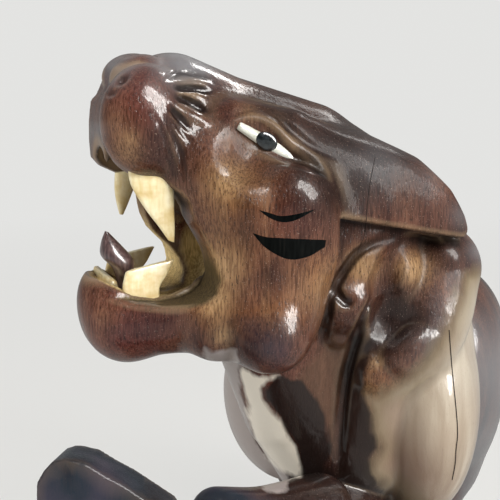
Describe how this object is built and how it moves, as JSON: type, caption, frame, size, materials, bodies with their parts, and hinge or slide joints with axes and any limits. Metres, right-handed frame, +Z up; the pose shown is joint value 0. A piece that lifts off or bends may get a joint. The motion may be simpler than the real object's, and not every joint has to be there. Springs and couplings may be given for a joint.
{
  "type": "carved tiger sculpture",
  "caption": "Standing tiger carved in polished rosewood, head turned and roaring, one forepaw raised, with bone teeth, inlaid eyes and a low oval plinth.",
  "frame": {"origin": "middle of the plinth's underside", "axes": "+Z up, -X the way the body faces, +Y the tiger's right side"},
  "size_m": [0.41, 0.156, 0.311],
  "materials": {
    "rosewood": "glossy lacquer over dark heartwood and pale sapwood",
    "plinth_wood": "satin lacquer",
    "tongue_wood": "gloss lacquer",
    "bone": "smooth carved bone",
    "eye_white": "smooth shell or bone",
    "eye_black": "polished black bead"
  },
  "bodies": {
    "root": {"tiger": "rosewood", "plinth": "plinth_wood", "tongue": "tongue_wood", "upper_fang_left": "bone", "upper_fang_right": "bone", "lower_fang_left": "bone", "lower_fang_right": "bone", "lower_front_tooth": "bone", "eye_white_left": "eye_white", "eye_white_right": "eye_white", "pupil_left": "eye_black", "pupil_right": "eye_black"}
  },
  "joints": []
}
